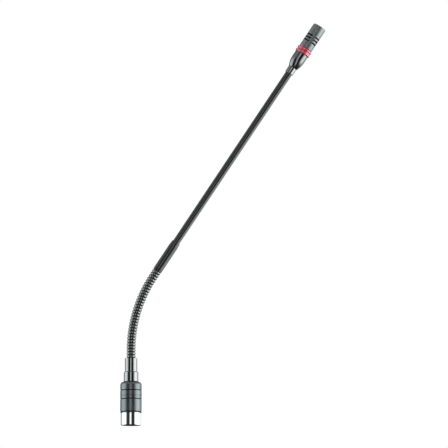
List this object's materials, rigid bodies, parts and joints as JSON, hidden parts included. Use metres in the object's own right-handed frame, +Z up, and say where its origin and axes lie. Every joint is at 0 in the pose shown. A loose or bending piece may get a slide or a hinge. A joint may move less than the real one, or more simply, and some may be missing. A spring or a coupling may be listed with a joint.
{
  "type": "gooseneck microphone",
  "caption": "Slim lectern microphone: a round chrome plug, a short bendable ribbed neck, a straight rigid tube and a slotted head with a red light ring at its base.",
  "frame": {"origin": "on the plug's axis, level with the underside of the grey plug body, where it meets the socket that holds the microphone", "axes": "+Z up along the plug's axis, away from the socket; +X the way the neck bends at rest; -Z the way the plug goes in"},
  "size_m": [0.1948, 0.0202, 0.3853],
  "materials": {
    "chrome": "polished",
    "grey_metal": "satin",
    "black_metal": "gloss",
    "neck_metal": "gloss",
    "black_satin": "satin",
    "dark_housing": "satin",
    "black_plastic": "matte",
    "rubber": "matte",
    "gold": "polished",
    "steel": "satin",
    "screen": "satin",
    "capsule_metal": "satin",
    "brass": "satin",
    "board": "satin",
    "led": "gloss",
    "red_lens": "gloss",
    "foam": "matte"
  },
  "bodies": {
    "plug": {"plug_shell": "chrome", "plug_insert": "black_plastic", "contact_pin_1": "gold", "contact_pin_2": "gold", "contact_pin_3": "gold", "contact_pin_4": "gold", "contact_pin_5": "gold", "plug_body": "grey_metal", "set_screw": "steel", "plug_board": "board", "preamp_chip": "black_plastic", "lower_collar": "black_metal", "upper_collar": "black_metal", "collar_nut": "brass", "lead_grommet": "rubber", "base_lead": "rubber", "neck_lead": "rubber", "neck_root": "neck_metal"},
    "neck_01": {"neck_link_01": "neck_metal"},
    "neck_02": {"neck_link_02": "neck_metal"},
    "neck_03": {"neck_link_03": "neck_metal"},
    "neck_04": {"neck_link_04": "neck_metal"},
    "neck_05": {"neck_link_05": "neck_metal"},
    "neck_06": {"neck_link_06": "neck_metal"},
    "neck_07": {"neck_link_07": "neck_metal"},
    "neck_08": {"neck_link_08": "neck_metal"},
    "neck_09": {"neck_link_09": "neck_metal"},
    "head": {"neck_tip": "neck_metal", "ferrule_ring": "black_satin", "mid_ferrule": "black_satin", "ferrule_bush": "brass", "upper_tube": "black_satin", "head_lead": "rubber", "neck_sleeve": "black_satin", "head_base": "black_metal", "head_nut": "brass", "light_ring": "red_lens", "led_board": "board", "led_1": "led", "led_2": "led", "led_3": "led", "led_4": "led", "head_housing": "dark_housing", "slot_screen": "screen", "capsule_board": "board", "capsule": "capsule_metal", "capsule_boot": "rubber", "foam_disc": "foam", "front_grille": "black_satin"}
  },
  "joints": [
    {"name": "neck_bend_1", "type": "hinge", "parent": "plug", "child": "neck_01", "pos_m": [0, 0, 0.05777], "axis": [0, 1, 0], "range_deg": [-20.5, 7.5], "deforming": ["neck_lead"]},
    {"name": "neck_sway_1", "type": "hinge", "parent": "neck_01", "child": "neck_02", "pos_m": [0.00015, 0, 0.06627], "axis": [0.9988, 0, -0.0487], "range_deg": [-14, 14]},
    {"name": "neck_bend_2", "type": "hinge", "parent": "neck_02", "child": "neck_03", "pos_m": [0.00085, 0, 0.07475], "axis": [0, 1, 0], "range_deg": [-20.5, 7.5]},
    {"name": "neck_sway_2", "type": "hinge", "parent": "neck_03", "child": "neck_04", "pos_m": [0.00211, 0, 0.08316], "axis": [0.9833, 0, -0.1818], "range_deg": [-14, 14]},
    {"name": "neck_bend_3", "type": "hinge", "parent": "neck_04", "child": "neck_05", "pos_m": [0.00394, 0, 0.09146], "axis": [0, 1, 0], "range_deg": [-20.5, 7.5]},
    {"name": "neck_sway_3", "type": "hinge", "parent": "neck_05", "child": "neck_06", "pos_m": [0.00632, 0, 0.09963], "axis": [0.9502, 0, -0.3117], "range_deg": [-14, 14]},
    {"name": "neck_bend_4", "type": "hinge", "parent": "neck_06", "child": "neck_07", "pos_m": [0.00924, 0, 0.10761], "axis": [0, 1, 0], "range_deg": [-20.5, 7.5]},
    {"name": "neck_sway_4", "type": "hinge", "parent": "neck_07", "child": "neck_08", "pos_m": [0.01269, 0, 0.11538], "axis": [0.8999, 0, -0.436], "range_deg": [-14, 14]},
    {"name": "neck_bend_5", "type": "hinge", "parent": "neck_08", "child": "neck_09", "pos_m": [0.01665, 0, 0.12291], "axis": [0, 1, 0], "range_deg": [-20.5, 7.5]},
    {"name": "neck_sway_5", "type": "hinge", "parent": "neck_09", "child": "head", "pos_m": [0.0211, 0, 0.13015], "axis": [0.8348, 0, -0.5505], "range_deg": [-14, 14]}
  ],
  "couplings": [
    {"joint": "neck_bend_2", "follows": "neck_bend_1", "ratio": 1},
    {"joint": "neck_sway_2", "follows": "neck_sway_1", "ratio": 1},
    {"joint": "neck_bend_3", "follows": "neck_bend_1", "ratio": 1},
    {"joint": "neck_sway_3", "follows": "neck_sway_1", "ratio": 1},
    {"joint": "neck_bend_4", "follows": "neck_bend_1", "ratio": 1},
    {"joint": "neck_sway_4", "follows": "neck_sway_1", "ratio": 1},
    {"joint": "neck_bend_5", "follows": "neck_bend_1", "ratio": 1},
    {"joint": "neck_sway_5", "follows": "neck_sway_1", "ratio": 1}
  ]
}
